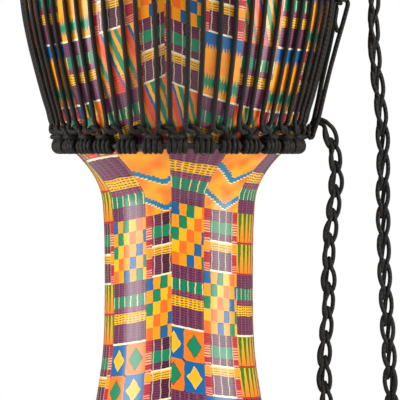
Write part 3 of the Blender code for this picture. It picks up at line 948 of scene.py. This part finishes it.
WRAP = 4.1                    # the fold's middle line round the hoop's middle
HALF_SKIN = 0.42              # half the fold's thickness, where the skin is stretched
fold = [(151.3, 601.6), (152.8, 586.0), (154.1, 566.0), *arc(HOOP, WRAP, 170.0, 380.0, 16),
        *arc(HOOP, WRAP, 50.0, 60.0, 1), (157.2, 566.4), (156.7, 570.0), (156.6, 583.0)]
fold = smooth(fold, 1.5)
turning = np.gradient(fold, axis=0)
turning /= np.linalg.norm(turning, axis=1)[:, None]
across_fold = HALF_SKIN * np.stack([turning[:, 1], -turning[:, 0]], -1)
sleeve = np.vstack([fold + across_fold, (fold - across_fold)[::-1]])
collar = build_piece("skin_collar_fold", [turned(sleeve, closed=True)], [hide], nodes=["skin_collar"])
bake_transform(collar)

# %% [markdown]
# ## Rings
# Three rings of 6 mm steel rod, powder-coated black: the flesh hoop in the skin's fold, the crown ring
# that presses it down, and the bottom ring round the foot of the bowl. Their colour is darker than black
# powder coat, as painted shade for the bottom ring where it lies between the knots. A torus would do,
# but the turning function is here already and gives their grain the same places on the material.

# %% Rings
for name, node, place, body in (("flesh_hoop_rod", "flesh_hoop", HOOP, "crown"),
                                ("crown_ring_rod", "crown_ring", CROWN, "crown"),
                                ("bottom_ring_rod", "bottom_ring", BOTTOM, "drum")):
    rod = arc(place, ROD, 0.0, -345.0, 23)     # 24 corners, the last one short of the first
    build_piece(name, [turned(rod, closed=True)], [steel], body, [node])

# %% [markdown]
# ## Cradles
# Each ring carries a rope worked into thirty cow hitches with a slack arch between each two. A hitch
# goes twice round the ring, crosses over its own front and goes twice round again the other way, so it
# shows as four turns side by side with a bar over them. The uprights run through the arches. Copies of
# one knot would look stamped, so a single rope runs through all thirty, each a little different.

# %% Cradles
HALF_HITCH = (                # (mm to the side, degrees round the rod, distance from the rod's middle)
    (-2.9, 66.0, 8.2), (-2.6, 20.0, 5.8), (-2.5, -30.0, 5.6), (-2.6, -80.0, 5.5), (-3.2, -135.0, 5.3),
    (-4.6, -190.0, 5.3), (-6.0, -245.0, 5.3), (-7.0, -300.0, 5.4), (-7.4, -345.0, 5.6),
    (-7.5, -395.0, 5.6), (-7.5, -445.0, 5.5), (-7.4, -500.0, 5.3), (-7.2, -545.0, 5.2),
    (-7.2, -590.0, 6.0), (-6.8, -625.0, 8.6), (-4.0, -660.0, 11.0),
)
HITCH = (*HALF_HITCH, (0.0, -668.0, 11.6),
         *[(-aside, degrees, reach) for aside, degrees, reach in reversed(HALF_HITCH)])
ARCH = (                      # (share of half an arch's width, share of its reach, share of its rise)
    (0.30, 0.75, 0.64), (0.52, 0.92, 0.86), (0.76, 1.00, 0.98),
)
CRADLE_ROPE = 2.4             # the cradles' rope is a little thicker
KNOT_STEP = 1.6               # from one ring of a knotted rope's mesh to the next
SWING = 2.2                   # an arch's first leg leans in by up to this, and its second out
UNEVEN_KNOT, UNEVEN_RISE, UNEVEN_SWING = 0.5, 0.7, 0.3    # degrees, then millimetres


def around(angle, radius, height):
    """A point at an azimuth in degrees."""
    turn = math.radians(angle)
    return (radius * math.cos(turn), radius * math.sin(turn), height)


def cradle_path(centre, up, arch_reach, arch_rise, seed):
    """A cradle rope: hitches half a pitch off the arches, up 1 for arches above the ring, -1 below."""
    slack = scatter(PAIRS * 3, seed)
    span = PITCH / 2
    points = []
    for knot in range(PAIRS):
        middle = PITCH * (knot + 0.5) + UNEVEN_KNOT * slack[knot]
        for aside, degrees, reach in HITCH:
            angle = math.radians(degrees)
            radius = centre[0] + reach * math.cos(angle)
            height = centre[1] + up * reach * math.sin(angle)
            points.append(around(middle + math.degrees(aside / centre[0]), radius, height))
        rise = arch_rise + UNEVEN_RISE * slack[PAIRS + knot]
        swing = SWING + UNEVEN_SWING * slack[2 * PAIRS + knot]
        for share, out, lift in ARCH:
            reach = centre[0] + arch_reach * out
            points.append(around(middle + span * share, reach - swing * share,
                                 centre[1] + up * rise * lift))
        points.append(around(middle + span, centre[0] + arch_reach, centre[1] + up * rise))
        for share, out, lift in reversed(ARCH):
            reach = centre[0] + arch_reach * out
            points.append(around(middle + span * (2.0 - share), reach + swing * share,
                                 centre[1] + up * rise * lift))
    return smooth(points, KNOT_STEP, closed=True)


bottom_path = cradle_path(BOTTOM, 1, 5.0, 18.8, 7)
build_piece("bottom_cradle_rope", [tube(bottom_path, CRADLE_ROPE, 9, closed=True)], [rope_finish], "drum",
            ["bottom_hitches", "bottom_loops"])
crown_path = cradle_path(CROWN, -1, 0.2, 23.0, 11)
build_piece("crown_cradle_rope", [tube(crown_path, CRADLE_ROPE, 9, closed=True)], [rope_finish], "crown",
            ["crown_hitches", "crown_loops"])

# %% [markdown]
# ## Tuning rope
# One rope runs up and down all round, through the arches of both cradles. It lies on the bowl from a
# little above the bottom ring to the shoulder. A hand tied it, so the uprights aren't quite even, and
# the lead draws the pair beside it off the bowl. Its top is at the crown and its foot at the drum, and
# the piece is attached to neither body.

# %% Tuning rope
UPRIGHT_TOP = (159.3, 547.0)  # (radius, height)
UPRIGHT = (                   # (height, distance from the bowl's surface, what the lead's pull adds)
    (538.0, 4.1, 0.4), (525.0, 3.3, 1.4), (505.0, 3.1, 2.2), (480.0, 2.9, 2.6), (460.0, 2.8, 3.2),
    (440.0, 2.9, 4.2), (427.0, 3.3, 5.4), (414.0, 4.2, 6.6), (403.0, 5.6, 6.6),
)
FOOT_TURN = (                 # (degrees aside, radius, height)
    (-2.6, 128.4, 396.5), (-1.7, 127.7, 393.6), (0.0, 126.0, 392.7), (1.8, 123.8, 393.4),
    (2.7, 122.0, 396.6),
)
HEAD_TURN = ((-1.8, 161.5, 552.5), (1.8, 161.0, 553.5))
PULLED_OUT, PULLED_DOWN = 5.5, 4.5    # the pulled pair's foot
BOW_LOW, BOW_SPAN = 395.0, 150.0      # heights over which an upright bows
BOW = 0.9                     # degrees at most
RUN_STEP = 2.4                # from one ring of the rope's mesh to the next


def upright(angle, shift, pulled):
    """The points of one upright from the top down, shift is how far the hand left its middle aside."""
    points = [around(angle, *UPRIGHT_TOP)]
    for height, off, drawn in UPRIGHT:
        bow = shift * math.sin(math.pi * (height - BOW_LOW) / BOW_SPAN)
        points.append(around(angle + bow, surface(height) + off + pulled * drawn, height))
    return points


def tuning_path():
    """Down, under the bottom arch, up and over the crown's arch, thirty times."""
    shifts = scatter(PAIRS * 2, 21) * BOW
    points = []
    for pair in range(PAIRS):
        middle = PITCH * pair
        pulled = pair == 0
        points += upright(middle - LEG, shifts[2 * pair], pulled)
        for aside, reach, height in FOOT_TURN:
            points.append(around(middle + aside, reach + PULLED_OUT * pulled,
                                 height - PULLED_DOWN * pulled))
        points += upright(middle + LEG, shifts[2 * pair + 1], pulled)[::-1]
        points += [around(middle + PITCH / 2 + aside, *place) for aside, *place in HEAD_TURN]
    return smooth(points, RUN_STEP, closed=True)


tuning = build_piece("tuning_rope_run", [tube(tuning_path(), ROPE, 10, closed=True)], [rope_finish],
                     nodes=["tuning_rope"])
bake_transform(tuning)

# %% [markdown]
# ## Lead
# The tuning rope's end is tied round two uprights at the right shoulder, and its lead stands off the
# bowl down to the bottom cradle, where it turns back up under an arch. A short cut tail hangs there too.
# Tie and tail ride on the crown, and the lead, like the uprights, is attached to neither body.

# %% Lead, tie and tail
LEAD = (                      # (radius, height)
    (168.4, 517.2), (167.0, 512.0), (164.6, 503.0), (159.1, 484.0), (155.3, 470.0), (151.5, 456.0),
    (146.4, 435.0), (143.3, 421.5), (140.1, 408.0), (137.2, 399.0), (135.0, 392.5), (133.9, 388.6),
    (132.0, 387.0), (130.1, 388.8), (129.5, 392.5), (130.6, 399.0),
)
TAIL = ((157.8, 515.5), (156.8, 509.0), (156.0, 502.0), (157.2, 497.0), (158.4, 493.6))
LEAD_START = ((3.4, 164.5, 525.0), (1.6, 167.6, 523.6), (0.2, 168.9, 520.6))   # out of the tie
lead_line = smooth([around(LEAD_ANGLE + aside, *place) for aside, *place in LEAD_START]
                   + [around(LEAD_ANGLE, *place) for place in LEAD], KNOT_STEP)
lead = build_piece("lead_rope_run", [tube(lead_line, ROPE, 10)], [rope_finish], nodes=["lead_rope"],
                   weld=True)
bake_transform(lead)
tail_line = smooth([around(LEAD_ANGLE, *place) for place in TAIL], KNOT_STEP)
build_piece("lead_tail_end", [tube(tail_line, ROPE, 10)], [rope_finish], "crown", ["lead_tail"],
            weld=True)

TIE_TURNS = 3
TIE_MIDDLE = 161.4            # radius of the two uprights that it holds
TIE_REACH, TIE_ASIDE = 5.4, 4.0       # outwards in millimetres, and to either side in degrees
TIE_TOP, TIE_DROP = 534.0, 4.2        # its first turn's height, and from one turn down to the next


def tie_path():
    """Turns round two uprights, wound downwards."""
    points = []
    for step in range(12 * TIE_TURNS + 1):
        turn = math.radians(step * 30.0)
        aside = TIE_ASIDE * math.cos(turn)
        reach = TIE_MIDDLE + TIE_REACH * math.sin(turn)
        points.append(around(LEAD_ANGLE + aside, reach, TIE_TOP - TIE_DROP * step / 12))
    return smooth(points, KNOT_STEP)


build_piece("lead_tie_turns", [tube(tie_path(), ROPE, 10)], [rope_finish], "crown", ["lead_tie"],
            weld=True)

# %% [markdown]
# ## Studio
# A white board to stand on, two tall softboxes at the sides that draw the long pale highlights down the
# lacquer, and a smaller one high in front. The camera sees a white backdrop, but the drum is lit by a
# dimmer surround, so that the front of the print stays deep in colour: one background shader can do
# both by asking whether a ray comes from the camera.

# %% Studio
board, _, _ = new_material("matt white board", base_color=colour("#f2f2f0"), roughness=0.9)
FLOOR = 1.3                   # metres from the drum to each edge
floor_mesh = bpy.data.meshes.new("floor")
floor_mesh.from_pydata([(x * FLOOR, y * FLOOR, 0.0) for x, y in ((-1, -1), (1, -1), (1, 1), (-1, 1))], [],
                       [(0, 1, 2, 3)])
floor_mesh.materials.append(board)
floor = bpy.data.objects.new("floor", floor_mesh)
bpy.context.collection.objects.link(floor)

world = bpy.data.worlds.new("studio")
bpy.context.scene.world = world
world.use_nodes = True
tree = world.node_tree
seen = add(tree, "LightPath", out=0)
shade = add(tree, "MixRGB", seen, colour("#6a6a6a"), (1.0, 1.0, 1.0, 1.0))
tree.links.new(shade, tree.nodes["Background"].inputs["Color"])

SOFTBOXES = (                 # (name, azimuth, distance, height, width, tallness, watts), metres
    ("softbox_left", 200.0, 1.5, 0.45, 0.9, 1.7, 33.0),
    ("softbox_right", 338.0, 1.5, 0.45, 0.9, 1.7, 31.0),
    ("softbox_high", 270.0, 1.1, 1.9, 1.3, 0.7, 17.0),
)
for name, degrees, distance, high, width, tallness, power in SOFTBOXES:
    lamp = bpy.data.objects.new(name, bpy.data.lights.new(name, "AREA"))
    lamp.data.shape = "RECTANGLE"
    lamp.data.size, lamp.data.size_y = width, tallness
    lamp.data.energy = power
    turn = math.radians(degrees)
    lamp.location = (distance * math.cos(turn), distance * math.sin(turn), high)
    aim(lamp, (0.0, 0.0, 0.35))
    bpy.context.collection.objects.link(lamp)
bpy.context.scene.view_settings.view_transform = "Standard"
print("studio:", len(SOFTBOXES), "softboxes")
